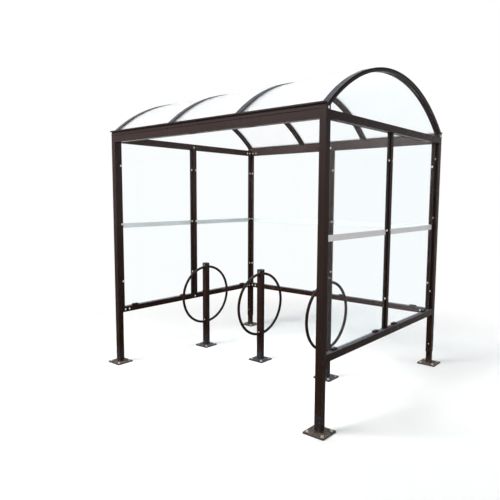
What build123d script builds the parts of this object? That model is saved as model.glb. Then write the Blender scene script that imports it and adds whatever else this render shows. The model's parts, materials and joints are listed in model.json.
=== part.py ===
"""Bike shelter: a tube frame on four base plates, glazed on three sides, with a
glazed barrel vault roof and three post-and-ring bike racks inside.

Millimetres. +X runs right along the open front, +Y to the back, +Z up. The origin
is on the floor, at the centre of the footprint.
"""
import os

from build123d import *

# ---- the frame -----------------------------------------------------------------
frame_width = 2306.0          # outside of the posts, left to right
frame_depth = 1970.0          # outside of the posts, front to back
tube = 50.8                   # side of the square frame tube
tube_wall = 3.2
head_height = 2074.0          # floor to the underside of the headers
eave_height = 82.0            # underside of the headers to the top of the posts
front_post_lift = 25.0        # floor to the foot of the front posts
back_post_lift = 118.0        # floor to the foot of the back posts, levelled up
rail_bottom = 482.0           # floor to the underside of the bottom rails
middle_post_side = 31.8       # middle posts stand flush with the rails' inner faces
middle_post_wall = 2.5

# ---- levelling feet --------------------------------------------------------------
foot_plate_side = 164.0
foot_plate_thickness = 10.0
foot_hole_spacing = 115.0
foot_hole_diameter = 14.0
foot_stub_wall = 4.0
foot_stub_engagement = 110.0  # how far a stub reaches up inside its post
stub_clearance = 0.3

# ---- eave section on the front and back headers ----------------------------------------
eave_groove_depth = 5.0
eave_groove_height = 4.0
eave_groove_above_tube = 7.0  # from the top of an end header to the shadow groove
gutter_base = 4.0
gutter_lip_setback = 4.0      # from the face of the header back to the face of the lip
gutter_lip_wall = 3.0
gutter_lip_height = 20.0
drip_projection = 14.0
drip_height = 11.0

# ---- glazing -------------------------------------------------------------------------
glass = 6.0
slot_play = 0.5               # beside each face of a sheet in its slot
edge_gap = 0.3                # between the edge of a sheet and what it sits on
channel_width = 26.0          # how far a glazing channel reaches from its post
channel_wall = 4.0
gable_fin_height = 10.0       # fins on an end header that hold the gable sheet
clip_length = 60.0
clip_height = 14.0
clip_width = 26.0
clip_inset = 145.0            # from the edge of a sheet to the middle of a clip
stripe_height = 44.0
stripe_centre = 1308.0
stripe_thickness = 0.4
stripe_glue = 0.1             # layer of adhesive between a sheet and its stripe

# ---- barrel roof ---------------------------------------------------------------------
roof_bays = 3
roof_rise = 380.0             # from the gutter to the top of the roof
rib_width = 50.8
rib_cap = 4.0
rib_web = 16.0
rib_tube_depth = 18.0
rib_tube_wall = 2.5

# ---- racks ---------------------------------------------------------------------------
rack_count = 3
rack_spacing = 750.0
rack_row_x = -156.0           # middle rack, right of the centre line
rack_row_y = -25.0            # row of racks, behind the centre line
rack_post_side = 50.8
rack_post_wall = 3.2
rack_post_height = 889.0
rack_cap = 3.0
ring_half_width = 318.0       # to the middle of the ring's tube
ring_half_height = 293.0
ring_tube = 25.4
ring_tube_wall = 2.5
ring_below_top = 42.0         # top of the post to the middle of the ring's tube
ring_clearance = 0.3          # round the ring where it passes through its post
rack_plate_side = 164.0
rack_plate_thickness = 10.0
rack_hole_spacing = 115.0
rack_hole_diameter = 14.0

# ---- cutting --------------------------------------------------------------------------
over = 1.0                    # how far a cutting shape runs past the piece it cuts

# ---- worked out from the sizes above ---------------------------------------------------
half_width = frame_width / 2
half_depth = frame_depth / 2
post_top = head_height + eave_height
post_x = half_width - tube / 2
post_y = half_depth - tube / 2
inner_x = half_width - tube
inner_y = half_depth - tube
header_top = head_height + tube
rail_top = rail_bottom + tube
gutter_top = post_top + gutter_base
slot = glass + 2 * slot_play
glazing_inset = (tube - middle_post_side) / 2  # sheets, inwards of the tubes' middles
rib_depth = rib_tube_depth + slot + rib_cap
lip_y = half_depth - gutter_lip_setback
spring_y = lip_y - gutter_lip_wall - edge_gap
roof_radius = (spring_y**2 + roof_rise**2) / (2 * roof_rise)
roof_centre_z = gutter_top + roof_rise - roof_radius
rib_spacing = 2 * post_x / roof_bays
ring_centre_z = rack_post_height - ring_below_top - ring_half_height

written = []


def save(node, *solids):
    """Write one sub-part: a single solid, or like pieces that do not touch."""
    shape = solids[0] if len(solids) == 1 else Compound(children=list(solids))
    export_step(shape, f"parts/{node}.step")
    written.append(node)


def block(x0, x1, y0, y1, z0, z1):
    """A box between two corners."""
    centre = ((x0 + x1) / 2, (y0 + y1) / 2, (z0 + z1) / 2)
    return Pos(*centre) * Box(x1 - x0, y1 - y0, z1 - z0)


def upright_tube(x, y, z0, z1, side, wall):
    """A square tube standing at x, y."""
    outer = block(x - side / 2, x + side / 2, y - side / 2, y + side / 2, z0, z1)
    bore = side / 2 - wall
    return outer - block(x - bore, x + bore, y - bore, y + bore, z0 - over, z1 + over)


def bolt_holes(x, y, spacing, diameter, thickness):
    """Four anchor holes through a plate that lies on the floor."""
    holes = [
        Pos(x + sx * spacing / 2, y + sy * spacing / 2, thickness / 2)
        * Cylinder(diameter / 2, thickness + 2 * over)
        for sx in (-1, 1)
        for sy in (-1, 1)
    ]
    return holes


def floor_plate(x, y, side, thickness, spacing, diameter):
    """A square base plate with four anchor holes and eased corners."""
    plate = Pos(x, y, thickness / 2) * Box(side, side, thickness)
    plate = fillet(plate.edges().filter_by(Axis.Z), thickness / 2)
    for hole in bolt_holes(x, y, spacing, diameter, thickness):
        plate -= hole
    return plate


def corner_post(sx, sy):
    """A square post from its lifted foot to the underside of the gutter."""
    lift = front_post_lift if sy < 0 else back_post_lift
    return upright_tube(sx * post_x, sy * post_y, lift, post_top, tube, tube_wall)


def levelling_foot(sx, sy):
    """A base plate with a stub tube that slides up into the post."""
    lift = front_post_lift if sy < 0 else back_post_lift
    side = tube - 2 * tube_wall - 2 * stub_clearance
    stub = upright_tube(
        sx * post_x, sy * post_y, foot_plate_thickness / 2,
        lift + foot_stub_engagement, side, foot_stub_wall,
    )
    plate = floor_plate(
        sx * post_x, sy * post_y, foot_plate_side, foot_plate_thickness,
        foot_hole_spacing, foot_hole_diameter,
    )
    return plate + stub


def eave_header(sy):
    """The header between two posts, with the gutter that runs over it and them.

    Built for the back (outside at +Y), and mirrored for the front.
    """
    body = block(-inner_x, inner_x, inner_y, half_depth, head_height, post_top)
    groove_z = header_top + eave_groove_above_tube
    body -= block(
        -inner_x, inner_x, half_depth - eave_groove_depth, half_depth,
        groove_z, groove_z + eave_groove_height,
    )
    inside = eave_groove_depth + tube_wall
    body -= block(
        -inner_x, inner_x, inner_y + tube_wall, half_depth - inside,
        head_height + tube_wall, post_top - tube_wall,
    )
    base = block(-half_width, half_width, inner_y, lip_y, post_top, gutter_top)
    lip_top = post_top + gutter_lip_height
    lip = block(
        -half_width, half_width, lip_y - gutter_lip_wall, lip_y,
        post_top, lip_top,
    )
    drip = block(
        -half_width, half_width, lip_y - gutter_lip_wall, half_depth + drip_projection,
        lip_top - drip_height, lip_top,
    )
    header = body + base + lip + drip
    return header if sy > 0 else header.mirror(Plane.XZ)


def end_header(sx):
    """The square tube over an end wall, with two fins that hold the gable sheet."""
    body = block(
        sx * post_x - tube / 2, sx * post_x + tube / 2, -inner_y, inner_y,
        head_height, header_top,
    )
    bore = tube / 2 - tube_wall
    body -= block(
        sx * post_x - bore, sx * post_x + bore, -inner_y - over, inner_y + over,
        head_height + tube_wall, header_top - tube_wall,
    )
    for side in (-1, 1):
        near = sx * post_x + side * slot / 2
        far = near + side * channel_wall
        body += block(
            min(near, far), max(near, far), -inner_y, inner_y,
            header_top - over, header_top + gable_fin_height,
        )
    return body


def bottom_rail_along_y(sx):
    """The bottom rail of an end wall."""
    bore = tube / 2 - tube_wall
    rail = block(
        sx * post_x - tube / 2, sx * post_x + tube / 2, -inner_y, inner_y,
        rail_bottom, rail_top,
    )
    return rail - block(
        sx * post_x - bore, sx * post_x + bore, -inner_y - over, inner_y + over,
        rail_bottom + tube_wall, rail_top - tube_wall,
    )


def bottom_rail_along_x():
    """The bottom rail of the back wall."""
    bore = tube / 2 - tube_wall
    rail = block(
        -inner_x, inner_x, post_y - tube / 2, post_y + tube / 2,
        rail_bottom, rail_top,
    )
    return rail - block(
        -inner_x - over, inner_x + over, post_y - bore, post_y + bore,
        rail_bottom + tube_wall, rail_top - tube_wall,
    )


class Wall:
    """One glazed wall: two sheets, a middle post, glazing channels, clips, stripe.

    Positions along the wall are measured from its middle post, and across it from the
    middle of the sheets. place() turns a box given as (along, across, height) into one
    in the frame.
    """

    def __init__(self, name, half_length, along_x, offset):
        self.name = name
        self.half_length = half_length
        self.along_x = along_x
        self.offset = offset

    def place(self, a0, a1, c0, c1, z0, z1):
        if self.along_x:
            return block(a0, a1, self.offset + c0, self.offset + c1, z0, z1)
        return block(self.offset + c0, self.offset + c1, a0, a1, z0, z1)

    def sheet_ends(self, side):
        """The two ends of the sheet on one side of the middle post."""
        near = side * (middle_post_side / 2 + channel_wall + edge_gap)
        far = side * (self.half_length - channel_wall - edge_gap)
        return sorted((near, far))

    def sheet(self, side):
        a0, a1 = self.sheet_ends(side)
        bottom = rail_top + channel_wall + edge_gap
        top = head_height - edge_gap
        return self.place(a0, a1, -glass / 2, glass / 2, bottom, top)

    def channel(self, root, way):
        """A U channel with its back at root, open along the wall (way is 1 or -1)."""
        half = slot / 2 + channel_wall
        a0, a1 = sorted((root, root + way * channel_width))
        body = self.place(a0, a1, -half, half, rail_top, head_height)
        b0, b1 = sorted((root + way * channel_wall, root + way * (channel_width + over)))
        return body - self.place(
            b0, b1, -slot / 2, slot / 2, rail_top - over, head_height + over
        )

    def corner_channels(self):
        return [self.channel(side * self.half_length, -side) for side in (-1, 1)]

    def middle_post(self):
        """A square tube with a channel welded along each side for the sheets."""
        half = middle_post_side / 2
        bore = half - middle_post_wall
        post = self.place(-half, half, -half, half, rail_top, head_height)
        post -= self.place(-bore, bore, -bore, bore, rail_top - over, head_height + over)
        for side in (-1, 1):
            post += self.channel(side * half, side)
        return post

    def clips(self):
        """Saddle blocks on the rail, with a slot that carries the sheet's edge."""
        made = []
        for side in (-1, 1):
            a0, a1 = self.sheet_ends(side)
            for middle in (a0 + clip_inset, a1 - clip_inset):
                lo = middle - clip_length / 2
                hi = middle + clip_length / 2
                clip = self.place(
                    lo, hi, -clip_width / 2, clip_width / 2,
                    rail_top, rail_top + clip_height,
                )
                clip -= self.place(
                    lo - over, hi + over, -slot / 2, slot / 2,
                    rail_top + channel_wall, rail_top + clip_height + over,
                )
                made.append(clip)
        return made

    def stripe(self):
        """A reflective band on the outer face of each sheet."""
        sign = 1 if self.offset > 0 else -1
        face = sign * (glass / 2 + stripe_glue)
        c0, c1 = sorted((face, face + sign * stripe_thickness))
        made = []
        for side in (-1, 1):
            a0, a1 = sorted((
                side * (middle_post_side / 2 + channel_width),
                side * (self.half_length - channel_width),
            ))
            made.append(self.place(
                a0 + edge_gap, a1 - edge_gap, c0, c1,
                stripe_centre - stripe_height / 2, stripe_centre + stripe_height / 2,
            ))
        return made


def barrel(x0, x1, inner, outer):
    """A slice of the barrel vault that stands in the two gutters."""
    ring = Cylinder(outer, x1 - x0) - Cylinder(inner, x1 - x0 + 2 * over)
    ring = Pos((x0 + x1) / 2, 0, roof_centre_z) * Rot(0, 90, 0) * ring
    return ring & block(
        x0, x1, -spring_y, spring_y, gutter_top, gutter_top + roof_rise + over
    )


def roof_rib(x, gable_slot):
    """A bent glazing bar: tube below, web, and cap strip above the roof sheets."""
    half = rib_width / 2
    cap_under = roof_radius - rib_cap
    tube_outside = cap_under - slot
    rib = barrel(x - half, x + half, roof_radius - rib_depth, roof_radius)
    beside = ((x - half - over, x - rib_web / 2), (x + rib_web / 2, x + half + over))
    for x0, x1 in beside:
        rib -= barrel(x0, x1, tube_outside, cap_under)
    bore = half - rib_tube_wall
    rib -= barrel(
        x - bore, x + bore,
        tube_outside - rib_tube_depth + 2 * rib_tube_wall, tube_outside - rib_tube_wall,
    )
    if gable_slot:
        inner = roof_radius - rib_depth
        rib -= barrel(x - slot / 2, x + slot / 2, inner - over, inner + rib_tube_wall)
    return rib


def roof_sheet(bay):
    """A curved roof sheet between two ribs."""
    left = -post_x + bay * rib_spacing + rib_web / 2 + slot_play
    right = -post_x + (bay + 1) * rib_spacing - rib_web / 2 - slot_play
    outer = roof_radius - rib_cap - slot_play
    return barrel(left, right, outer - glass, outer)


def gable_sheet(sx):
    """The sheet that closes an end of the vault, over the end header."""
    radius = roof_radius - rib_depth + rib_tube_wall - edge_gap
    disc = Pos(sx * post_x, 0, roof_centre_z) * Rot(0, 90, 0) * Cylinder(radius, glass)
    reach = inner_y - edge_gap
    return disc & block(
        sx * post_x - glass, sx * post_x + glass, -reach, reach,
        header_top + edge_gap, gutter_top + roof_rise,
    )


def bent_ring(x, radius):
    """A round bar bent into a closed ring, a little wider than tall."""
    plane = Plane(
        origin=(x, rack_row_y, ring_centre_z), x_dir=(0, 1, 0), z_dir=(1, 0, 0)
    )
    path = Edge.make_ellipse(ring_half_width, ring_half_height, plane=plane)
    start = Plane(origin=path @ 0, z_dir=path % 0)
    return sweep(start * Circle(radius), path=path)


def rack_ring(x):
    """A bent round tube, hollow."""
    radius = ring_tube / 2
    return bent_ring(x, radius) - bent_ring(x, radius - ring_tube_wall)


def rack_post(x):
    """A capped square post on a base plate, bored at two heights for the ring."""
    post = upright_tube(
        x, rack_row_y, rack_plate_thickness / 2, rack_post_height,
        rack_post_side, rack_post_wall,
    )
    half = rack_post_side / 2
    post += block(
        x - half, x + half, rack_row_y - half, rack_row_y + half,
        rack_post_height - rack_cap, rack_post_height,
    )
    post += floor_plate(
        x, rack_row_y, rack_plate_side, rack_plate_thickness,
        rack_hole_spacing, rack_hole_diameter,
    )
    return post - bent_ring(x, ring_tube / 2 + ring_clearance)


def main():
    os.makedirs("parts", exist_ok=True)

    for sy, depth_name in ((-1, "front"), (1, "back")):
        for sx, side_name in ((-1, "left"), (1, "right")):
            save(f"{depth_name}_{side_name}_post", corner_post(sx, sy))
            save(f"{depth_name}_{side_name}_foot", levelling_foot(sx, sy))
        save(f"{depth_name}_header", eave_header(sy))

    for sx, side_name in ((-1, "left"), (1, "right")):
        save(f"{side_name}_header", end_header(sx))
        save(f"{side_name}_bottom_rail", bottom_rail_along_y(sx))
        save(f"{side_name}_gable_panel", gable_sheet(sx))
    save("back_bottom_rail", bottom_rail_along_x())

    walls = (
        Wall("left", inner_y, False, glazing_inset - post_x),
        Wall("right", inner_y, False, post_x - glazing_inset),
        Wall("back", inner_x, True, post_y - glazing_inset),
    )
    for wall in walls:
        ends = ("left", "right") if wall.along_x else ("front", "back")
        for side, end_name in zip((-1, 1), ends):
            save(f"{wall.name}_wall_panel_{end_name}", wall.sheet(side))
        save(f"{wall.name}_middle_post", wall.middle_post())
        save(f"{wall.name}_glazing_clips", *wall.corner_channels(), *wall.clips())
        save(f"{wall.name}_stripe", *wall.stripe())

    for number in range(roof_bays + 1):
        x = -post_x + number * rib_spacing
        at_end = number in (0, roof_bays)
        save(f"roof_rib_{number + 1}", roof_rib(x, at_end))
    for bay in range(roof_bays):
        save(f"roof_panel_{bay + 1}", roof_sheet(bay))

    for number in range(rack_count):
        x = rack_row_x + (number - (rack_count - 1) / 2) * rack_spacing
        save(f"rack_{number + 1}_post", rack_post(x))
        save(f"rack_{number + 1}_ring", rack_ring(x))

    print(len(written), "sub-parts written")


main()
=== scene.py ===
"""Dresses the bike shelter: paint, glazing, fasteners, welds and seals on the frame,
and a plain studio round it. Metres, in the frame's own axes: +X right along the open
front, +Y to the back, +Z up.
"""

import json
import math

import bmesh
import bpy
from mathutils import Matrix, Vector


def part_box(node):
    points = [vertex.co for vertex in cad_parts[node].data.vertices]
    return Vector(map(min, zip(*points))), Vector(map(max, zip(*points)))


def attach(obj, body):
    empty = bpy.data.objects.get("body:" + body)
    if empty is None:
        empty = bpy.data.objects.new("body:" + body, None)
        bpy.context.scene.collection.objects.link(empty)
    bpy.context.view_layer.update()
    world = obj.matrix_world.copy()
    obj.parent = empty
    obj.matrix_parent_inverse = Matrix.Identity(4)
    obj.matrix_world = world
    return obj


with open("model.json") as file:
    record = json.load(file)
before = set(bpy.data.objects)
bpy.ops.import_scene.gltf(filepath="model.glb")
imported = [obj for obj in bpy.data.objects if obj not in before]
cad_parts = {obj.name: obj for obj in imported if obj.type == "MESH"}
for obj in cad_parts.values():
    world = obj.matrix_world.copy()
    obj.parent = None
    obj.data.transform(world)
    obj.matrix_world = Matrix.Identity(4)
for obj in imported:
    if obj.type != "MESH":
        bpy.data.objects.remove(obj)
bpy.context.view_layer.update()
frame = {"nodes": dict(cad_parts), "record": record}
nodes = frame["nodes"]

MM = 0.001

# ---- sizes of what is added to the frame ----------------------------------------
CHANNEL_HALF = 7.5 * MM         # middle of a sheet to the face of its channel
CHANNEL_WIDTH = 26 * MM
SHEET_HALF = 3 * MM
CAP_THICKNESS = 4 * MM          # cap strip of a roof rib
GLAZING_BOLT_HEIGHTS = (0.779, 1.321, 1.864)
CORNER_SCREW_HEIGHTS = (0.705, 1.395, 1.932)  # outer faces of the end walls' corner channels
TUBE_END_STEPS = (26 * MM, 72 * MM)  # end of a header or rail to its bolts
SET_SCREW_RISE = 0.078          # foot of a post to its set screw
POST_SCREW_DROP = 0.016         # top of a post to the bolt in its side
RING_SCREW_STEP = 7 * MM        # outside of a ring's tube to the screw above it
CAP_SCREW_STEPS = (0.20, 0.50, 0.80)  # along a rib, from the top of the roof
FOOT_SCREW_INSET = 0.026        # foot of a rib to its bright screw
RACKS = (1, 2, 3)
RACK_POST_HALF = 25.4 * MM
PLATE_TOP = 10 * MM             # floor to the top of a base plate
HOLE_HALF_SPACING = 57.5 * MM   # middle of a base plate to its holes
STUB_INSET = 3.5 * MM           # face of a post to the face of the stub inside it
CAP_SKIRT = 9 * MM              # depth of a rack post's plastic cap
CAP_PROUD = 1.3 * MM
CAP_CORNER = 4 * MM
CAP_CORNER_POINTS = 4
CAP_OUTLINE = (                 # height over the post's top, and step in from the side
    (-CAP_SKIRT, 0.4 * MM), (-CAP_SKIRT + 0.6 * MM, 0.0), (-1.6 * MM, 0.0),
    (-0.5 * MM, 0.5 * MM), (CAP_PROUD - 0.2 * MM, 2.2 * MM),
    (CAP_PROUD + 0.5 * MM, 7 * MM),
)
SEAL_RADIUS = 1.5 * MM
SEAL_OUT = 0.5 * SEAL_RADIUS    # face of a sheet to the middle of its seal
SEAL_DROP = 0.4 * SEAL_RADIUS   # underside of a header to the middle of its seal
ROOF_SEAL_RADIUS = 1.2 * MM
ROOF_SEAL_SIDES = 6
ROOF_SEAL_STEPS = 48
ROOF_SEAL_SHARE = 0.998         # of the arc, so that the ends stay in the gutters
ROOF_SEAL_INSET = 0.5 * MM      # edge of a cap strip to the seal under it
WELD_RADIUS = 2.6 * MM
WELD_OUT = 0.6 * MM             # face of a stub to the middle of its weld
WELD_RISE = 0.5 * MM


def box(name):
    """Lowest and highest corner of a frame node."""
    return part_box(name)


def middle(name):
    low, high = box(name)
    return (low + high) / 2


# ---- node building ---------------------------------------------------------------
def put(tree, kind, sockets=None, **settings):
    """Adds a node. sockets gives a value or another node's output for each input."""
    made = tree.nodes.new(kind)
    for key, value in settings.items():
        setattr(made, key, value)
    for key, value in (sockets or {}).items():
        if isinstance(value, bpy.types.NodeSocket):
            tree.links.new(value, made.inputs[key])
        else:
            made.inputs[key].default_value = value
    return made


def maths(tree, operation, first, second=0.0, third=0.0, clamp=False):
    made = put(
        tree, "ShaderNodeMath", {0: first, 1: second, 2: third},
        operation=operation, use_clamp=clamp,
    )
    return made.outputs[0]


def remap(tree, value, low, high, to_low=0.0, to_high=1.0, smooth=False):
    made = put(
        tree, "ShaderNodeMapRange",
        {0: value, 1: low, 2: high, 3: to_low, 4: to_high},
        interpolation_type="SMOOTHSTEP" if smooth else "LINEAR",
    )
    return made.outputs[0]


def blend(tree, share, first, second):
    """Mixes two colours."""
    made = put(tree, "ShaderNodeMix", data_type="RGBA")
    for key, value in ((0, share), (6, first), (7, second)):
        if isinstance(value, bpy.types.NodeSocket):
            tree.links.new(value, made.inputs[key])
        else:
            made.inputs[key].default_value = value
    return made.outputs[2]


def noise(tree, place, scale, detail=3.0, roughness=0.55):
    return put(
        tree, "ShaderNodeTexNoise",
        {"Vector": place, "Scale": scale, "Detail": detail, "Roughness": roughness},
    ).outputs["Fac"]


def stretched(tree, place, x, y, z):
    return put(
        tree, "ShaderNodeMapping", {"Vector": place, "Scale": (x, y, z)},
    ).outputs[0]


def shader_group(name, inputs, outputs):
    """An empty shader group with named sockets, and its two end nodes."""
    tree = bpy.data.node_groups.new(name, "ShaderNodeTree")
    for label, value in inputs.items():
        kind = "NodeSocketColor" if isinstance(value, tuple) else "NodeSocketFloat"
        socket = tree.interface.new_socket(label, in_out="INPUT", socket_type=kind)
        socket.default_value = value
    for label, kind in outputs.items():
        tree.interface.new_socket(label, in_out="OUTPUT", socket_type=kind)
    return tree, tree.nodes.new("NodeGroupInput"), tree.nodes.new("NodeGroupOutput")


def use_group(tree, group, sockets):
    made = tree.nodes.new("ShaderNodeGroup")
    made.node_tree = group
    for key, value in sockets.items():
        if isinstance(value, bpy.types.NodeSocket):
            tree.links.new(value, made.inputs[key])
        else:
            made.inputs[key].default_value = value
    return made


def object_place(tree):
    return put(tree, "ShaderNodeTexCoord").outputs["Object"]


# ---- effects that several finishes share --------------------------------------------
def eased_edge_group():
    """Rounds the look of sharp edges and finds where paint rubs thin on them."""
    tree, start, end = shader_group(
        "eased_edge", {"Radius": 1.2 * MM, "Rub": 0.5},
        {"Normal": "NodeSocketVector", "Worn": "NodeSocketFloat"},
    )
    rounded = put(
        tree, "ShaderNodeBevel", {"Radius": start.outputs["Radius"]}, samples=4
    ).outputs[0]
    flat = put(tree, "ShaderNodeNewGeometry").outputs["Normal"]
    likeness = put(
        tree, "ShaderNodeVectorMath", {0: rounded, 1: flat}, operation="DOT_PRODUCT"
    ).outputs["Value"]
    edge = remap(tree, likeness, 0.98, 0.80)
    patches = remap(tree, noise(tree, object_place(tree), 21.0, 4.0), 0.47, 0.66)
    worn = maths(tree, "MULTIPLY", maths(tree, "MULTIPLY", edge, patches), start.outputs["Rub"])
    tree.links.new(rounded, end.inputs["Normal"])
    tree.links.new(worn, end.inputs["Worn"])
    return tree


def paint_grain_group():
    """The fine pebbled skin of baked powder paint, and its faint cloudiness."""
    tree, start, end = shader_group(
        "paint_grain", {"Pebble Scale": 700.0, "Cloud Scale": 5.0},
        {"Height": "NodeSocketFloat", "Cloud": "NodeSocketFloat"},
    )
    place = object_place(tree)
    pebbles = put(
        tree, "ShaderNodeTexNoise",
        {"Vector": place, "Scale": start.outputs["Pebble Scale"], "Detail": 2.0},
    ).outputs["Fac"]
    cloud = put(
        tree, "ShaderNodeTexNoise",
        {"Vector": place, "Scale": start.outputs["Cloud Scale"], "Detail": 5.0,
         "Roughness": 0.6},
    ).outputs["Fac"]
    tree.links.new(pebbles, end.inputs["Height"])
    tree.links.new(remap(tree, cloud, 0.3, 0.7), end.inputs["Cloud"])
    return tree


def dust_and_sheen_group():
    """Where faces look up, in patches: settled dusting, which in the paints also carries a
    painted sky reflection; and splashes near the ground.
    """
    tree, start, end = shader_group(
        "dust_and_sky_sheen", {"On Top": 0.5, "Splash": 0.5, "Splash Height": 0.16},
        {"Dust And Sheen": "NodeSocketFloat"},
    )
    place = object_place(tree)
    facing = put(
        tree, "ShaderNodeSeparateXYZ",
        {0: put(tree, "ShaderNodeNewGeometry").outputs["Normal"]},
    ).outputs[2]
    height = put(tree, "ShaderNodeSeparateXYZ", {0: place}).outputs[2]
    top = maths(
        tree, "MULTIPLY", remap(tree, facing, 0.35, 0.95, smooth=True),
        remap(tree, noise(tree, place, 34.0, 6.0, 0.62), 0.30, 0.68),
    )
    low = remap(
        tree, maths(tree, "DIVIDE", height, start.outputs["Splash Height"]), 1.0, 0.0,
        smooth=True,
    )
    spatter = remap(tree, noise(tree, place, 85.0, 5.0, 0.7), 0.40, 0.66)
    splash = maths(tree, "MULTIPLY", low, spatter)
    total = maths(
        tree, "ADD", maths(tree, "MULTIPLY", top, start.outputs["On Top"]),
        maths(tree, "MULTIPLY", splash, start.outputs["Splash"]), clamp=True,
    )
    tree.links.new(total, end.inputs["Dust And Sheen"])
    return tree


def streak_group():
    """Faint runs that rain leaves down upright faces."""
    tree, start, end = shader_group(
        "rain_streaks", {"Fineness": 55.0, "Length": 1.1},
        {"Streak": "NodeSocketFloat"},
    )
    place = object_place(tree)
    parts = put(tree, "ShaderNodeSeparateXYZ", {0: place})
    squeezed = put(
        tree, "ShaderNodeCombineXYZ",
        {
            0: maths(tree, "MULTIPLY", parts.outputs[0], start.outputs["Fineness"]),
            1: maths(tree, "MULTIPLY", parts.outputs[1], start.outputs["Fineness"]),
            2: maths(tree, "MULTIPLY", parts.outputs[2], start.outputs["Length"]),
        },
    ).outputs[0]
    runs = noise(tree, squeezed, 1.0, 3.0, 0.6)
    broken = noise(tree, place, 3.0, 2.0)
    streak = maths(
        tree, "MULTIPLY", remap(tree, runs, 0.52, 0.72), remap(tree, broken, 0.4, 0.6)
    )
    tree.links.new(streak, end.inputs["Streak"])
    return tree


def painted_sheen_group():
    """Painted sky reflection: a share that grows towards the top, in patches, to lighten paint
    where its upper faces would reflect the sky.
    """
    tree, start, end = shader_group(
        "painted_sheen", {"Low": 0.15, "High": 2.0}, {"Fade": "NodeSocketFloat"},
    )
    place = object_place(tree)
    height = put(tree, "ShaderNodeSeparateXYZ", {0: place}).outputs[2]
    rise = remap(tree, height, start.outputs["Low"], start.outputs["High"])
    patches = remap(tree, noise(tree, place, 2.4, 4.0), 0.3, 0.7, -0.12, 0.12)
    tree.links.new(maths(tree, "ADD", rise, patches, clamp=True), end.inputs["Fade"])
    return tree


EDGE = eased_edge_group()
GRAIN = paint_grain_group()
DUST_AND_SHEEN = dust_and_sheen_group()
STREAK = streak_group()
TOP_SHEEN = painted_sheen_group()


# ---- finishes --------------------------------------------------------------------------
def new_material(name):
    material = bpy.data.materials.new(name)
    material.use_nodes = True
    tree = material.node_tree
    shader = tree.nodes["Principled BSDF"]
    return material, tree, shader


def painted(name, colour, cloudy, sheen_colour, worn, dust_and_sheen_colour, gloss, on_top, splash,
            splash_height, rub=0.5, pebble=700.0, specular=0.5, streak=0.03):
    """Baked paint on metal, with a painted sky reflection that lightens it towards the top."""
    material, tree, shader = new_material(name)
    grain = use_group(tree, GRAIN, {"Pebble Scale": pebble, "Cloud Scale": 4.0})
    edge = use_group(tree, EDGE, {"Radius": 1.3 * MM, "Rub": rub})
    dust_and_sheen = use_group(
        tree, DUST_AND_SHEEN, {"On Top": on_top, "Splash": splash, "Splash Height": splash_height}
    )
    runs = use_group(tree, STREAK, {"Fineness": 55.0, "Length": 1.1})
    top_sheen = use_group(tree, TOP_SHEEN, {"Low": 0.15, "High": 2.0})
    coat = blend(tree, grain.outputs["Cloud"], colour, cloudy)
    # painted sky reflection: the coat lightens towards the top
    coat = blend(tree, top_sheen.outputs["Fade"], coat, sheen_colour)
    coat = blend(tree, edge.outputs["Worn"], coat, worn)
    # dusting and rain runs, plus a painted sky reflection on faces that look up
    dirt_and_sheen = maths(
        tree, "ADD", dust_and_sheen.outputs["Dust And Sheen"],
        maths(tree, "MULTIPLY", runs.outputs["Streak"], streak), clamp=True,
    )
    tree.links.new(blend(tree, dirt_and_sheen, coat, dust_and_sheen_colour), shader.inputs["Base Color"])
    rough = maths(
        tree, "ADD", remap(tree, grain.outputs["Cloud"], 0.0, 1.0, gloss - 0.04, gloss + 0.06),
        maths(tree, "MULTIPLY", dirt_and_sheen, 0.35), clamp=True,
    )
    tree.links.new(rough, shader.inputs["Roughness"])
    bump = put(
        tree, "ShaderNodeBump",
        {
            "Strength": 0.16, "Distance": 0.15 * MM,
            "Height": grain.outputs["Height"], "Normal": edge.outputs["Normal"],
        },
    )
    tree.links.new(bump.outputs[0], shader.inputs["Normal"])
    shader.inputs["Specular IOR Level"].default_value = specular
    return material


def bright_metal(name, colour, stained, gloss):
    """Bare fasteners: metal with fine turning marks and a little staining."""
    material, tree, shader = new_material(name)
    place = object_place(tree)
    stain = remap(tree, noise(tree, place, 160.0, 4.0, 0.6), 0.42, 0.70)
    tree.links.new(blend(tree, stain, colour, stained), shader.inputs["Base Color"])
    scratches = noise(tree, stretched(tree, place, 900.0, 900.0, 240.0), 1.0, 2.0)
    tree.links.new(
        remap(tree, scratches, 0.3, 0.7, gloss - 0.06, gloss + 0.12),
        shader.inputs["Roughness"],
    )
    bump = put(
        tree, "ShaderNodeBump",
        {"Strength": 0.12, "Distance": 0.05 * MM, "Height": scratches},
    )
    tree.links.new(bump.outputs[0], shader.inputs["Normal"])
    shader.inputs["Metallic"].default_value = 1.0
    return material


def rubber(name, colour, bloom):
    """Seals: matt black rubber with a grey bloom."""
    material, tree, shader = new_material(name)
    place = object_place(tree)
    cloud = remap(tree, noise(tree, place, 40.0, 5.0, 0.65), 0.40, 0.75)
    tree.links.new(blend(tree, cloud, colour, bloom), shader.inputs["Base Color"])
    tree.links.new(remap(tree, cloud, 0.0, 1.0, 0.55, 0.80), shader.inputs["Roughness"])
    bump = put(
        tree, "ShaderNodeBump",
        {"Strength": 0.2, "Distance": 0.1 * MM, "Height": noise(tree, place, 900.0, 2.0)},
    )
    tree.links.new(bump.outputs[0], shader.inputs["Normal"])
    return material


def let_lamps_through(tree, shader, tint):
    """Lamps shine through the sheet, as they do through real clear plastic."""
    path = put(tree, "ShaderNodeLightPath")
    clear = put(tree, "ShaderNodeBsdfTransparent", {"Color": tint})
    mixed = put(tree, "ShaderNodeMixShader", {0: path.outputs["Is Shadow Ray"]})
    tree.links.new(shader.outputs[0], mixed.inputs[1])
    tree.links.new(clear.outputs[0], mixed.inputs[2])
    output = tree.nodes["Material Output"]
    tree.links.new(mixed.outputs[0], output.inputs["Surface"])


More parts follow.
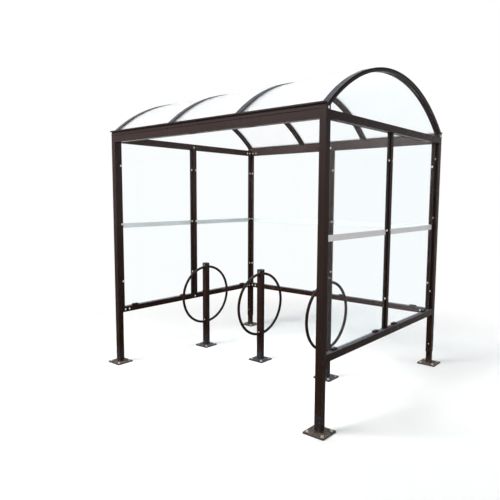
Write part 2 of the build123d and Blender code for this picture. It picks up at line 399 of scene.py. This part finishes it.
def clear_sheet(name, tint, dusty_tint):
    """Clear plastic glazing with a dusty film low down and wiped smears."""
    material, tree, shader = new_material(name)
    place = object_place(tree)
    dust_and_sheen = use_group(tree, DUST_AND_SHEEN, {"On Top": 0.2, "Splash": 0.7, "Splash Height": 0.75})
    tree.links.new(
        blend(tree, dust_and_sheen.outputs["Dust And Sheen"], tint, dusty_tint), shader.inputs["Base Color"]
    )
    smears = noise(tree, stretched(tree, place, 3.0, 3.0, 9.0), 1.4, 5.0, 0.65)
    tree.links.new(
        remap(tree, smears, 0.35, 0.80, 0.015, 0.07), shader.inputs["Roughness"]
    )
    wave = noise(tree, place, 2.2, 1.0)
    bump = put(
        tree, "ShaderNodeBump", {"Strength": 0.05, "Distance": 0.4 * MM, "Height": wave}
    )
    tree.links.new(bump.outputs[0], shader.inputs["Normal"])
    shader.inputs["Transmission Weight"].default_value = 1.0
    shader.inputs["IOR"].default_value = 1.10
    let_lamps_through(tree, shader, (0.965, 0.985, 0.99, 1))
    return material


def opal_sheet(name, tint, dusty_tint):
    """Opal plastic roof sheet: it lets light through and hides what is above it."""
    material, tree, shader = new_material(name)
    place = object_place(tree)
    cloud = remap(tree, noise(tree, place, 2.6, 5.0, 0.6), 0.35, 0.75)
    fall = noise(tree, stretched(tree, place, 60.0, 1.6, 1.6), 1.0, 3.0, 0.6)
    film = maths(tree, "MULTIPLY", cloud, remap(tree, fall, 0.45, 0.75))
    tree.links.new(blend(tree, film, tint, dusty_tint), shader.inputs["Base Color"])
    tree.links.new(remap(tree, cloud, 0.0, 1.0, 0.50, 0.58), shader.inputs["Roughness"])
    bump = put(
        tree, "ShaderNodeBump",
        {"Strength": 0.08, "Distance": 0.3 * MM, "Height": noise(tree, place, 14.0, 2.0)},
    )
    tree.links.new(bump.outputs[0], shader.inputs["Normal"])
    shader.inputs["Transmission Weight"].default_value = 0.98
    shader.inputs["IOR"].default_value = 1.14
    let_lamps_through(tree, shader, (0.82, 0.85, 0.86, 1))
    return material


def reflective_film(name, silver, cell_edge):
    """Silver visibility film with small six-sided cells."""
    material, tree, shader = new_material(name)
    place = object_place(tree)
    cells = put(
        tree, "ShaderNodeTexVoronoi",
        {"Vector": place, "Scale": 240.0, "Randomness": 0.15},
        feature="DISTANCE_TO_EDGE",
    ).outputs["Distance"]
    wall = remap(tree, cells, 0.03, 0.10, 1.0, 0.0)
    cloud = remap(tree, noise(tree, place, 7.0, 4.0), 0.35, 0.70)
    colour = blend(tree, maths(tree, "MULTIPLY", wall, 0.6), silver, cell_edge)
    colour = blend(tree, maths(tree, "MULTIPLY", cloud, 0.3), colour, (0.50, 0.49, 0.485, 1))
    tree.links.new(colour, shader.inputs["Base Color"])
    tree.links.new(remap(tree, cloud, 0.0, 1.0, 0.32, 0.5), shader.inputs["Roughness"])
    bump = put(
        tree, "ShaderNodeBump", {"Strength": 0.2, "Distance": 0.1 * MM, "Height": wall}
    )
    tree.links.new(bump.outputs[0], shader.inputs["Normal"])
    shader.inputs["Metallic"].default_value = 0.25
    return material


BRONZE = dict(
    colour=(0.0165, 0.0066, 0.0032, 1), cloudy=(0.0215, 0.0096, 0.0052, 1),
    # next line: the first colour is a painted sky reflection that lightens the paint towards the
    # top; the second is rubbed edges
    sheen_colour=(0.0400, 0.0275, 0.0265, 1), worn=(0.080, 0.058, 0.050, 1),
    # next line: the bluish colour is settled dusting together with a painted sky reflection on
    # faces that look up
    dust_and_sheen_colour=(0.150, 0.172, 0.225, 1), specular=0.025,
)
FINISHES = {
    "bronze_paint": painted(
        "bronze_paint", gloss=0.24, on_top=0.60, splash=0.30, splash_height=0.22, **BRONZE
    ),
    "rack_paint": painted(
        "rack_paint", gloss=0.25, on_top=0.30, splash=0.45, splash_height=0.18, rub=0.8,
        pebble=820.0, **BRONZE
    ),
    "clear_glazing": clear_sheet(
        "clear_glazing", (0.960, 0.986, 0.991, 1), (0.925, 0.95, 0.95, 1)
    ),
    "opal_glazing": opal_sheet(
        "opal_glazing", (0.982, 0.996, 1.0, 1), (0.92, 0.935, 0.935, 1)
    ),
    "silver_stripe": reflective_film(
        "silver_stripe", (0.56, 0.57, 0.58, 1), (0.72, 0.73, 0.74, 1)
    ),
}
FOOT_PAINT = painted(
    "foot_paint", gloss=0.36, on_top=0.50, splash=0.60, splash_height=0.10, rub=1.0,
    # next line: the warm pale colour is settled dusting together with a painted sky reflection on
    # the plates' tops
    **{**BRONZE, "dust_and_sheen_colour": (0.205, 0.178, 0.155, 1)},
)
STAINLESS = bright_metal(
    "stainless_steel", (0.72, 0.70, 0.67, 1), (0.50, 0.46, 0.41, 1), 0.26
)
ZINC = bright_metal("zinc_plate", (0.62, 0.60, 0.55, 1), (0.36, 0.31, 0.25, 1), 0.36)
SEAL_RUBBER = rubber("seal_rubber", (0.012, 0.012, 0.013, 1), (0.045, 0.045, 0.046, 1))
CAP_PLASTIC = rubber("cap_plastic", (0.010, 0.010, 0.011, 1), (0.030, 0.030, 0.031, 1))


def finish_frame():
    """Gives every frame node the finish that its record names."""
    for part in frame["record"]["subparts"]:
        name = part["node"]
        finish = FINISHES[part["material_slot"]]
        if name.endswith("_foot"):
            finish = FOOT_PAINT
        mesh = nodes[name].data
        mesh.materials.clear()
        mesh.materials.append(finish)


# ---- repeated and path-following pieces ---------------------------------------------------
def growth_tree(name, sizes):
    """A geometry tree with a geometry input, named sizes and a material."""
    tree = bpy.data.node_groups.new(name, "GeometryNodeTree")
    kinds = {int: "NodeSocketInt", float: "NodeSocketFloat"}
    tree.interface.new_socket("Seed", in_out="INPUT", socket_type="NodeSocketGeometry")
    for label, value in sizes.items():
        socket = tree.interface.new_socket(
            label, in_out="INPUT", socket_type=kinds[type(value)]
        )
        socket.default_value = value
    tree.interface.new_socket("Finish", in_out="INPUT", socket_type="NodeSocketMaterial")
    tree.interface.new_socket("Piece", in_out="OUTPUT", socket_type="NodeSocketGeometry")
    return tree, tree.nodes.new("NodeGroupInput"), tree.nodes.new("NodeGroupOutput")


def close_tree(tree, start, end, geometry, smooth):
    """Ends a tree: real geometry, shading and finish."""
    real = put(tree, "GeometryNodeRealizeInstances", {0: geometry})
    shaded = put(
        tree, "GeometryNodeSetShadeSmooth", {"Geometry": real.outputs[0], "Shade Smooth": smooth}
    )
    done = put(
        tree, "GeometryNodeSetMaterial",
        {"Geometry": shaded.outputs[0], "Material": start.outputs["Finish"]},
    )
    tree.links.new(done.outputs[0], end.inputs["Piece"])


def fastener_tree():
    """Heads, washers and stud ends, one set on each seed point, facing its way out."""
    tree, start, end = growth_tree(
        "fasteners",
        {
            "Sides": 12, "Head Radius": 7 * MM, "Head Rise": 3 * MM, "Crown Rise": 1.6 * MM,
            "Crown Share": 0.72, "Socket Share": 0.5, "Socket Depth": 1.6 * MM,
            "Washer Radius": 8.5 * MM, "Washer Thickness": 1.2 * MM,
            "Stud Radius": 3 * MM, "Stud Rise": 4 * MM,
        },
    )
    size = start.outputs

    def raised(mesh, top, rise):
        made = put(
            tree, "GeometryNodeExtrudeMesh",
            {"Mesh": mesh, "Offset Scale": rise, "Individual": False}, mode="FACES",
        )
        if top is not None:
            tree.links.new(top, made.inputs["Selection"])
        return made.outputs["Mesh"], made.outputs["Top"]

    def shrunk(mesh, top, share):
        return put(
            tree, "GeometryNodeScaleElements",
            {"Geometry": mesh, "Selection": top, "Scale": share},
        ).outputs[0]

    plate = put(
        tree, "GeometryNodeMeshCircle",
        {"Vertices": size["Sides"], "Radius": size["Head Radius"]}, fill_type="NGON",
    ).outputs[0]
    mesh, top = raised(plate, None, size["Head Rise"])
    mesh, top = raised(mesh, top, size["Crown Rise"])
    mesh = shrunk(mesh, top, size["Crown Share"])
    mesh, top = raised(mesh, top, 0.0)
    mesh = shrunk(mesh, top, size["Socket Share"])
    mesh, top = raised(mesh, top, maths(tree, "MULTIPLY", size["Socket Depth"], -1.0))
    under = put(tree, "GeometryNodeFlipFaces", {0: plate}).outputs[0]
    head = put(tree, "GeometryNodeJoinGeometry")
    tree.links.new(mesh, head.inputs[0])
    tree.links.new(under, head.inputs[0])
    head = put(tree, "GeometryNodeMergeByDistance", {0: head.outputs[0], "Distance": 1e-6})
    head = put(
        tree, "GeometryNodeTransform",
        {
            "Geometry": head.outputs[0],
            "Translation": put(
                tree, "ShaderNodeCombineXYZ", {2: size["Washer Thickness"]}
            ).outputs[0],
        },
    ).outputs[0]

    def round_bar(radius, low, high, sides, taper):
        """A round bar from one height to another, slightly narrower at its top."""
        rise = maths(tree, "SUBTRACT", high, low)
        bar = put(
            tree, "GeometryNodeMeshCone",
            {
                "Vertices": sides, "Radius Bottom": radius,
                "Radius Top": maths(tree, "MULTIPLY", radius, taper), "Depth": rise,
            },
        ).outputs[0]
        return put(
            tree, "GeometryNodeTransform",
            {
                "Geometry": bar,
                "Translation": put(tree, "ShaderNodeCombineXYZ", {2: low}).outputs[0],
            },
        ).outputs[0]

    washer = round_bar(size["Washer Radius"], 0.0, size["Washer Thickness"], 24, 0.97)
    stud = round_bar(size["Stud Radius"], 0.0, size["Stud Rise"], 12, 0.86)
    whole = put(tree, "GeometryNodeJoinGeometry")
    for shape in (head, washer, stud):
        tree.links.new(shape, whole.inputs[0])
    facing = put(
        tree, "GeometryNodeInputNamedAttribute", {"Name": "facing"}, data_type="FLOAT_VECTOR"
    ).outputs[0]
    turned = put(tree, "FunctionNodeAlignRotationToVector", {"Vector": facing}, axis="Z")
    twist = put(
        tree, "FunctionNodeRandomValue", {"Seed": 7}, data_type="FLOAT",
    )
    # this node has a pair of limits for each kind of number: 2 and 3 are the floats
    twist.inputs[2].default_value = 0.0
    twist.inputs[3].default_value = math.tau
    about = put(
        tree, "FunctionNodeAxisAngleToRotation",
        {"Axis": (0, 0, 1), "Angle": twist.outputs[1]},
    )
    turned = put(
        tree, "FunctionNodeRotateRotation",
        {0: turned.outputs[0], 1: about.outputs[0]}, rotation_space="LOCAL",
    )
    placed = put(
        tree, "GeometryNodeInstanceOnPoints",
        {"Points": size["Seed"], "Instance": whole.outputs[0], "Rotation": turned.outputs[0]},
    )
    close_tree(tree, start, end, placed.outputs[0], False)
    return tree


def seal_tree():
    """A round bead of rubber along each seed line."""
    tree, start, end = growth_tree("seals", {"Radius": SEAL_RADIUS, "Sides": 8})
    line = put(tree, "GeometryNodeMeshToCurve", {0: start.outputs["Seed"]}).outputs[0]
    ring = put(
        tree, "GeometryNodeCurvePrimitiveCircle",
        {"Resolution": start.outputs["Sides"], "Radius": start.outputs["Radius"]},
        mode="RADIUS",
    ).outputs[0]
    tube = put(
        tree, "GeometryNodeCurveToMesh", {"Curve": line, "Profile Curve": ring, "Fill Caps": True}
    )
    close_tree(tree, start, end, tube.outputs[0], True)
    return tree


def weld_tree():
    """Overlapping drops of weld metal along each seed line."""
    tree, start, end = growth_tree(
        "welds", {"Radius": WELD_RADIUS, "Pitch": 2.4 * MM, "Uneven": 0.16}
    )
    line = put(tree, "GeometryNodeMeshToCurve", {0: start.outputs["Seed"]}).outputs[0]
    drops = put(
        tree, "GeometryNodeResampleCurve",
        {"Curve": line, "Length": start.outputs["Pitch"]}, mode="LENGTH",
    ).outputs[0]
    drop = put(
        tree, "GeometryNodeMeshIcoSphere",
        {"Radius": start.outputs["Radius"], "Subdivisions": 2},
    ).outputs[0]
    spread = put(tree, "FunctionNodeRandomValue", {"Seed": 3}, data_type="FLOAT")
    tree.links.new(
        maths(tree, "SUBTRACT", 1.0, start.outputs["Uneven"]), spread.inputs[2]
    )
    tree.links.new(maths(tree, "ADD", 1.0, start.outputs["Uneven"]), spread.inputs[3])
    placed = put(
        tree, "GeometryNodeInstanceOnPoints",
        {"Points": drops, "Instance": drop, "Scale": spread.outputs[1]},
    )
    close_tree(tree, start, end, placed.outputs[0], True)
    return tree


FASTENERS = fastener_tree()
SEALS = seal_tree()
WELDS = weld_tree()


def grow(name, tree, finish, sizes, points, edges=(), facings=None):
    """Runs a tree on seed points or lines and keeps the result as a plain mesh."""
    mesh = bpy.data.meshes.new(name + "_seed")
    mesh.from_pydata([tuple(p) for p in points], list(edges), [])
    if facings is not None:
        attribute = mesh.attributes.new("facing", "FLOAT_VECTOR", "POINT")
        for item, facing in zip(attribute.data, facings):
            item.vector = facing
    seed = bpy.data.objects.new(name + "_seed", mesh)
    bpy.context.scene.collection.objects.link(seed)
    modifier = seed.modifiers.new("grow", "NODES")
    modifier.node_group = tree
    for item in tree.interface.items_tree:
        if item.in_out == "INPUT" and item.name in sizes:
            modifier[item.identifier] = sizes[item.name]
        if item.in_out == "INPUT" and item.name == "Finish":
            modifier[item.identifier] = finish
    bpy.context.view_layer.update()
    shown = seed.evaluated_get(bpy.context.evaluated_depsgraph_get())
    made = bpy.data.meshes.new_from_object(shown)
    made.name = name
    seed.modifiers.remove(modifier)
    bpy.data.objects.remove(seed)
    piece = bpy.data.objects.new(name, made)
    bpy.context.scene.collection.objects.link(piece)
    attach(piece, "root")
    return piece


BUTTON_HEAD = {
    "Sides": 14, "Head Radius": 7.6 * MM, "Head Rise": 1.8 * MM, "Crown Rise": 2.4 * MM,
    "Crown Share": 0.66, "Socket Share": 0.60, "Socket Depth": 2.0 * MM,
    "Washer Radius": 9.6 * MM, "Washer Thickness": 1.2 * MM,
    "Stud Radius": 1.5 * MM, "Stud Rise": 1.0 * MM,
}
RING_SCREW = {
    "Sides": 12, "Head Radius": 4.6 * MM, "Head Rise": 1.2 * MM, "Crown Rise": 1.6 * MM,
    "Crown Share": 0.66, "Socket Share": 0.60, "Socket Depth": 1.2 * MM,
    "Washer Radius": 5.6 * MM, "Washer Thickness": 0.9 * MM,
    "Stud Radius": 1.0 * MM, "Stud Rise": 0.6 * MM,
}
CAP_SCREW = {
    "Sides": 12, "Head Radius": 4.6 * MM, "Head Rise": 1.0 * MM, "Crown Rise": 1.4 * MM,
    "Crown Share": 0.6, "Socket Share": 0.55, "Socket Depth": 1.0 * MM,
    "Washer Radius": 6.0 * MM, "Washer Thickness": 0.9 * MM,
    "Stud Radius": 1.5 * MM, "Stud Rise": 1.0 * MM,
}
SET_SCREW = {
    "Sides": 12, "Head Radius": 4.4 * MM, "Head Rise": 0.7 * MM, "Crown Rise": 0.5 * MM,
    "Crown Share": 0.9, "Socket Share": 0.6, "Socket Depth": 1.0 * MM,
    "Washer Radius": 4.9 * MM, "Washer Thickness": 0.4 * MM,
    "Stud Radius": 1.5 * MM, "Stud Rise": 0.3 * MM,
}
ANCHOR_NUT = {
    "Sides": 6, "Head Radius": 9.2 * MM, "Head Rise": 6.6 * MM, "Crown Rise": 1.4 * MM,
    "Crown Share": 0.86, "Socket Share": 0.7, "Socket Depth": 0.8 * MM,
    "Washer Radius": 12.0 * MM, "Washer Thickness": 2.0 * MM,
    "Stud Radius": 5.0 * MM, "Stud Rise": 12.5 * MM,
}


class Wall:
    """A glazed wall. A point on it is given by its distance along the wall from the
    middle post, its distance out from the middle of the sheets, and its height."""

    def __init__(self, name, along, out):
        self.name = name
        self.along = Vector(along)
        self.out = Vector(out)
        rail_low, rail_high = box(name + "_bottom_rail")
        post_low, post_high = box(name + "_middle_post")
        self.origin = (post_low + post_high) / 2
        self.origin.z = 0
        self.half_length = (rail_high - rail_low).dot(self.along) / 2
        self.tube_half = (rail_high - rail_low).z / 2
        tube_out = ((rail_low + rail_high) / 2 - self.origin).dot(self.out)
        self.inner_face = tube_out - self.tube_half
        self.post_half = (post_high - post_low).dot(self.along) / 2 - CHANNEL_WIDTH
        self.rail_middle = (rail_low + rail_high).z / 2
        self.low = rail_high.z
        self.high = post_high.z

    def at(self, along, out, z):
        return self.origin + self.along * along + self.out * out + Vector((0, 0, z))


WALLS = (
    Wall("left", (0, 1, 0), (-1, 0, 0)),
    Wall("right", (0, 1, 0), (1, 0, 0)),
    Wall("back", (1, 0, 0), (0, 1, 0)),
)


def glazing_bolts():
    """Bolts in the channels' faces. The outer faces of the end walls' corner channels
    carry theirs between the heights of the back wall's, which meet the same posts."""
    for wall in WALLS:
        points, facings = [], []
        corner = wall.half_length - CHANNEL_WIDTH / 2
        beside_post = wall.post_half + CHANNEL_WIDTH / 2
        for face in (-1, 1):
            staggered = face > 0 and wall.name != "back"
            corner_heights = CORNER_SCREW_HEIGHTS if staggered else GLAZING_BOLT_HEIGHTS
            for place, heights in ((corner, corner_heights), (beside_post, GLAZING_BOLT_HEIGHTS)):
                for z in heights:
                    for side in (-1, 1):
                        points.append(wall.at(side * place, face * CHANNEL_HALF, z))
                        facings.append(wall.out * face)
        grow(wall.name + "_glazing_bolts", FASTENERS, STAINLESS, BUTTON_HEAD, points,
             facings=facings)


def joint_bolts():
    """Bolts at both ends and the middle of each wall's header and rail."""
    for wall in WALLS:
        places = [0.0]
        for step in TUBE_END_STEPS:
            places += [step - wall.half_length, wall.half_length - step]
        points = [
            wall.at(along, wall.inner_face, z) for along in places
            for z in (wall.rail_middle, wall.high + wall.tube_half)
        ]
        grow(wall.name + "_joint_bolts", FASTENERS, STAINLESS, BUTTON_HEAD, points,
             facings=[-wall.out] * len(points))


def post_bolts():
    """Bolts through the posts' tops into the headers, and the set screws that lock the
    posts on their stubs."""
    points, facings, screws, screw_facings = [], [], [], []
    for depth_name, depth in (("front", -1), ("back", 1)):
        for side_name, side in (("left", -1), ("right", 1)):
            low, high = box(f"{depth_name}_{side_name}_post")
            centre = (low + high) / 2
            out = Vector((side, 0, 0))
            reach = (high.x - low.x) / 2
            points.append(Vector((centre.x, centre.y, high.z - POST_SCREW_DROP)) + out * reach)
            facings.append(out)
            screws.append(Vector((centre.x, centre.y - depth * reach, low.z + SET_SCREW_RISE)))
            screw_facings.append(Vector((0, -depth, 0)))
    grow("post_bolts", FASTENERS, STAINLESS, BUTTON_HEAD, points, facings=facings)
    grow("post_set_screws", FASTENERS, STAINLESS, SET_SCREW, screws, facings=screw_facings)


class Arch:
    """The roof's arc, read from a rib."""

    def __init__(self):
        low, high = box("roof_rib_2")
        span = (high.y - low.y) / 2
        rise = high.z - low.z
        self.radius = (span * span + rise * rise) / (2 * rise)
        self.centre_z = high.z - self.radius
        self.reach = math.asin(span / self.radius)

    def at(self, x, angle, radius):
        return Vector((x, radius * math.sin(angle), self.centre_z + radius * math.cos(angle)))

    def facing(self, angle):
        return Vector((0, math.sin(angle), math.cos(angle)))


ARCH = Arch()
RIBS = sorted(middle(name).x for name in nodes if name.startswith("roof_rib"))
RIB_HALF = (box("roof_rib_1")[1].x - box("roof_rib_1")[0].x) / 2


def roof_screws():
    """Painted screws down the ribs' cap strips, and a bright one at each foot."""
    small, small_facings, bright, bright_facings = [], [], [], []
    for x in RIBS:
        for side in (-1, 1):
            for step in CAP_SCREW_STEPS:
                angle = side * step / ARCH.radius
                small.append(ARCH.at(x, angle, ARCH.radius))
                small_facings.append(ARCH.facing(angle))
            angle = side * (ARCH.reach - FOOT_SCREW_INSET / ARCH.radius)
            bright.append(ARCH.at(x, angle, ARCH.radius))
            bright_facings.append(ARCH.facing(angle))
    grow("rib_cap_screws", FASTENERS, FINISHES["bronze_paint"], CAP_SCREW, small,
         facings=small_facings)
    grow("rib_foot_screws", FASTENERS, STAINLESS, BUTTON_HEAD, bright, facings=bright_facings)


def plate_nodes():
    feet = [name for name in sorted(nodes) if name.endswith("_foot")]
    racks = [name for name in sorted(nodes) if name.startswith("rack") and name.endswith("_post")]
    return feet, racks


def anchor_nuts():
    """A stud, nut and washer in each hole of the base plates."""
    feet, racks = plate_nodes()
    for name, group in (("frame_anchor_nuts", feet), ("rack_anchor_nuts", racks)):
        points = []
        for node in group:
            centre = middle(node)
            for sx in (-1, 1):
                for sy in (-1, 1):
                    points.append(Vector((
                        centre.x + sx * HOLE_HALF_SPACING,
                        centre.y + sy * HOLE_HALF_SPACING, PLATE_TOP,
                    )))
        up = [Vector((0, 0, 1))] * len(points)
        grow(name, FASTENERS, ZINC, ANCHOR_NUT, points, facings=up)


def plate_welds():
    """Weld beads where stubs and rack posts stand on their base plates."""
    feet, racks = plate_nodes()
    post_low, post_high = box("front_left_post")
    stub_half = (post_high.x - post_low.x) / 2 - STUB_INSET
    for name, group, half in (
        ("stub_welds", feet, stub_half), ("rack_welds", racks, RACK_POST_HALF),
    ):
        points, edges = [], []
        for node in group:
            centre = middle(node)
            first = len(points)
            reach = half + WELD_OUT
            for sx, sy in ((-1, -1), (1, -1), (1, 1), (-1, 1)):
                points.append(Vector((
                    centre.x + sx * reach, centre.y + sy * reach, PLATE_TOP + WELD_RISE,
                )))
            edges += [(first + k, first + (k + 1) % 4) for k in range(4)]
        grow(name, WELDS, FOOT_PAINT, {}, points, edges)


def ring_screws():
    """Screws above the places where a ring enters its post, on both of those faces."""
    points, facings = [], []
    for number in RACKS:
        ring_low, ring_high = box(f"rack_{number}_ring")
        tube_half = (ring_high.x - ring_low.x) / 2
        centre = (ring_low + ring_high) / 2
        for z in (ring_low.z + tube_half, ring_high.z - tube_half):
            for side in (-1, 1):
                points.append(Vector((
                    centre.x, centre.y + side * RACK_POST_HALF,
                    z + tube_half + RING_SCREW_STEP,
                )))
                facings.append(Vector((0, side, 0)))
    grow("ring_screws", FASTENERS, STAINLESS, RING_SCREW, points, facings=facings)


def add_rounded_square(made, x, y, z, reach):
    """Adds a rounded square of points round (x, y) at height z."""
    turn_step = 90 / (CAP_CORNER_POINTS - 1)
    for turn in range(4):
        for step in range(CAP_CORNER_POINTS):
            angle = math.radians(90 * turn + turn_step * step)
            side_x = 1 if turn in (0, 3) else -1
            side_y = 1 if turn in (0, 1) else -1
            made.verts.new((
                x + side_x * (reach - CAP_CORNER) + CAP_CORNER * math.cos(angle),
                y + side_y * (reach - CAP_CORNER) + CAP_CORNER * math.sin(angle), z,
            ))


def rack_caps():
    """Black plastic caps pressed over the tops of the rack posts."""
    half = RACK_POST_HALF + CAP_PROUD
    count = 4 * CAP_CORNER_POINTS
    for number in RACKS:
        top = box(f"rack_{number}_post")[1].z
        centre = middle(f"rack_{number}_ring")
        made = bmesh.new()
        for z, inset in CAP_OUTLINE:
            add_rounded_square(made, centre.x, centre.y, top + z, half - inset)
        points = list(made.verts)
        for layer in range(len(CAP_OUTLINE) - 1):
            for k in range(count):
                a, b = layer * count + k, layer * count + (k + 1) % count
                made.faces.new([points[i] for i in (a, b, b + count, a + count)])
        made.faces.new(points[-count:])
        mesh = bpy.data.meshes.new(f"rack_{number}_cap")
        made.to_mesh(mesh)
        made.free()
        mesh.materials.append(CAP_PLASTIC)
        cap = bpy.data.objects.new(mesh.name, mesh)
        bpy.context.scene.collection.objects.link(cap)
        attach(cap, "root")


def wall_seals():
    """Rubber beads in the corners between the sheets and what holds them."""
    for wall in WALLS:
        points, edges = [], []

        def line(a, b):
            points.extend((a, b))
            edges.append((len(points) - 2, len(points) - 1))

        for face in (-1, 1):
            out = face * (SHEET_HALF + SEAL_OUT)
            for side in (-1, 1):
                corner = side * (wall.half_length - CHANNEL_WIDTH)
                post = side * (wall.post_half + CHANNEL_WIDTH)
                for along in (corner, post):
                    line(wall.at(along, out, wall.low), wall.at(along, out, wall.high))
                top = wall.high - SEAL_DROP
                line(wall.at(post, out, top), wall.at(corner, out, top))
        grow(wall.name + "_glazing_seals", SEALS, SEAL_RUBBER, {}, points, edges)


def roof_seals():
    """Rubber beads under the edges of the ribs' cap strips."""
    points, edges = [], []
    radius = ARCH.radius - CAP_THICKNESS
    for x in RIBS:
        for side in (-1, 1):
            if abs(x + side * RIB_HALF) > abs(RIBS[0]):
                continue
            first = len(points)
            for k in range(ROOF_SEAL_STEPS + 1):
                angle = ARCH.reach * ROOF_SEAL_SHARE * (2 * k / ROOF_SEAL_STEPS - 1)
                points.append(
                    ARCH.at(x + side * (RIB_HALF - ROOF_SEAL_INSET), angle, radius)
                )
            edges += [(first + k, first + k + 1) for k in range(ROOF_SEAL_STEPS)]
    sizes = {"Radius": ROOF_SEAL_RADIUS, "Sides": ROOF_SEAL_SIDES}
    grow("roof_seals", SEALS, SEAL_RUBBER, sizes, points, edges)


# ---- the studio ------------------------------------------------------------------------------
CAMERA_PLACE = (2.8861, -3.7343, 1.5714)
CAMERA_TURN = 40.608            # degrees from +Y towards -X
CAMERA_TILT = -5.894
CAMERA_ROLL = 0.216
CAMERA_LENS = 36.30
CAMERA_SENSOR = 36.0
CAMERA_CLIP = 200.0
WHITE = (1, 1, 1, 1)
SKY_COLOUR = (0.97, 0.985, 1.0, 1)
SKY_STRENGTH = 0.24
LAMPS = {
    "key": dict(
        place=(-3.0, -6.2, 5.2), target=(0, 0, 1.0), size=4.2, power=740,
        colour=(1.0, 0.985, 0.965),
    ),
    "fill": dict(
        place=(3.6, 1.2, 1.7), target=(1.1, 0.4, 1.3), size=1.6, power=30,
        colour=(1.0, 0.975, 0.95), shown=False,
    ),
    "top": dict(
        place=(0.5, 1.0, 6.5), target=(0, 0, 1.0), size=4.0, power=110,
        colour=(0.86, 0.93, 1.0),
    ),
}
FLOOR_HALF = 40.0
NEAR_FLOOR = 1.5                # shadows show out to here
FAR_FLOOR = 3.6                 # and the floor is plain white beyond here
FLOOR_TONES = (0.93, 0.93, 0.925, 1), (0.95, 0.95, 0.945, 1)
FLOOR_BOUNCE = (0.33, 0.32, 0.31, 1)


def camera():
    data = bpy.data.cameras.new("camera")
    data.lens = CAMERA_LENS
    data.sensor_width = CAMERA_SENSOR
    data.clip_end = CAMERA_CLIP
    made = bpy.data.objects.new("camera", data)
    turn = Matrix.Rotation(math.radians(CAMERA_TURN), 4, "Z")
    tilt = Matrix.Rotation(math.radians(90 + CAMERA_TILT), 4, "X")
    roll = Matrix.Rotation(math.radians(CAMERA_ROLL), 4, "Z")
    made.matrix_world = Matrix.Translation(CAMERA_PLACE) @ turn @ tilt @ roll
    bpy.context.scene.collection.objects.link(made)
    bpy.context.scene.camera = made


def lamp(name, place, target, size, power, colour, shown=True):
    """A square lamp. One that isn't shown lights the part without being seen itself,
    either directly or through the glazing."""
    data = bpy.data.lights.new(name, "AREA")
    data.shape = "SQUARE"
    data.size = size
    data.energy = power
    data.color = colour
    made = bpy.data.objects.new(name, data)
    made.location = place
    made.visible_camera = shown
    made.visible_transmission = shown
    aim = Vector(target) - Vector(place)
    made.rotation_euler = aim.to_track_quat("-Z", "Y").to_euler()
    bpy.context.scene.collection.objects.link(made)


def seen_share(tree):
    """1 for rays that show the background: from the camera, mirrored or through glass."""
    path = put(tree, "ShaderNodeLightPath")
    share = maths(
        tree, "ADD", path.outputs["Is Camera Ray"], path.outputs["Is Glossy Ray"]
    )
    return maths(tree, "ADD", share, path.outputs["Is Transmission Ray"], clamp=True)


def studio():
    world = bpy.data.worlds.new("studio")
    bpy.context.scene.world = world
    world.use_nodes = True
    tree = world.node_tree
    background = tree.nodes["Background"]
    background.inputs["Color"].default_value = SKY_COLOUR
    background.inputs["Strength"].default_value = SKY_STRENGTH
    white = put(tree, "ShaderNodeBackground", {"Color": WHITE, "Strength": 1.0})
    mixed = put(tree, "ShaderNodeMixShader", {0: seen_share(tree)})
    tree.links.new(background.outputs[0], mixed.inputs[1])
    tree.links.new(white.outputs[0], mixed.inputs[2])
    tree.links.new(mixed.outputs[0], tree.nodes["World Output"].inputs["Surface"])

    for name, settings in LAMPS.items():
        lamp(name, **settings)


def floor():
    """A pale floor. Rays that bounce off it see a greyer one, as on paving."""
    mesh = bpy.data.meshes.new("studio_floor")
    half = FLOOR_HALF
    corners = [(-half, -half, 0), (half, -half, 0), (half, half, 0), (-half, half, 0)]
    mesh.from_pydata(corners, [], [(0, 1, 2, 3)])
    material, tree, shader = new_material("studio_floor")
    place = object_place(tree)
    seen = seen_share(tree)
    tone = remap(tree, noise(tree, place, 1.3, 3.0), 0.3, 0.7, 0.0, 1.0)
    pale = blend(tree, tone, *FLOOR_TONES)
    tree.links.new(blend(tree, seen, FLOOR_BOUNCE, pale), shader.inputs["Base Color"])
    shader.inputs["Roughness"].default_value = 0.9
    shader.inputs["Specular IOR Level"].default_value = 0.1
    far = put(tree, "ShaderNodeVectorMath", {0: place}, operation="LENGTH").outputs["Value"]
    share = maths(tree, "MULTIPLY", remap(tree, far, NEAR_FLOOR, FAR_FLOOR, smooth=True), seen)
    glow = put(tree, "ShaderNodeEmission", {"Color": WHITE, "Strength": 1.0})
    mixed = put(tree, "ShaderNodeMixShader", {0: share})
    tree.links.new(shader.outputs[0], mixed.inputs[1])
    tree.links.new(glow.outputs[0], mixed.inputs[2])
    tree.links.new(mixed.outputs[0], tree.nodes["Material Output"].inputs["Surface"])
    mesh.materials.append(material)
    made = bpy.data.objects.new("studio_floor", mesh)
    bpy.context.scene.collection.objects.link(made)


finish_frame()
glazing_bolts()
joint_bolts()
post_bolts()
roof_screws()
anchor_nuts()
plate_welds()
ring_screws()
rack_caps()
wall_seals()
roof_seals()
camera()
studio()
floor()
bpy.context.scene.view_settings.view_transform = "Standard"
